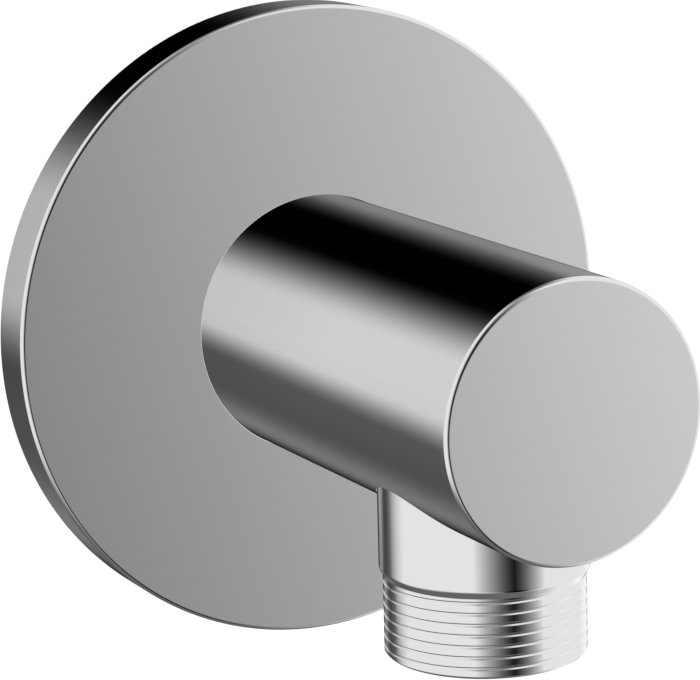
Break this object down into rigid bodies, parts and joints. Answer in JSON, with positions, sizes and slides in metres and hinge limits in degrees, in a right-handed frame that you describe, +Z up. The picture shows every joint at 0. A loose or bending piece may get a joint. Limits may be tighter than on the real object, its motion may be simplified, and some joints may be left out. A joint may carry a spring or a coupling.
{
  "type": "wall outlet elbow",
  "caption": "Chromed wall outlet for a shower hose: a flat round escutcheon, a round bar body that stands out of it, and a male hose thread pointing down under the body.",
  "frame": {"origin": "on the wall plane, on the axis of the inlet thread, the escutcheon and the body", "axes": "+Y into the wall along the inlet thread, -Y out into the room along the body, +Z up, the outlet points down"},
  "size_m": [0.07, 0.0762, 0.07],
  "materials": {
    "chrome": "polished chrome plate on turned brass",
    "brass": "turned, uncoated",
    "steel": "stainless, plain",
    "rubber": "moulded black rubber",
    "foam": "closed-cell foam, die cut",
    "housing_plastic": "moulded acetal",
    "valve_plastic": "moulded acetal"
  },
  "bodies": {
    "fitting": {"escutcheon": "chrome", "elbow_body": "chrome", "outlet_nipple": "chrome", "inlet_nipple": "brass", "grub_screw": "steel", "wall_gasket": "foam", "escutcheon_grip_ring": "rubber", "nipple_o_ring_rear": "rubber", "nipple_o_ring_front": "rubber", "outlet_o_ring": "rubber", "valve_housing": "housing_plastic", "valve_housing_o_ring": "rubber", "valve_cage": "housing_plastic", "valve_spring": "steel"},
    "poppet": {"valve_poppet": "valve_plastic", "valve_poppet_seal": "rubber"}
  },
  "joints": [
    {"name": "poppet_slide", "type": "slide", "parent": "fitting", "child": "poppet", "axis": [0, 0, -1], "range_m": [0, 0.002], "stiffness_N_per_m": 150, "springref_m": -0.003, "deforming": ["valve_spring"]}
  ]
}
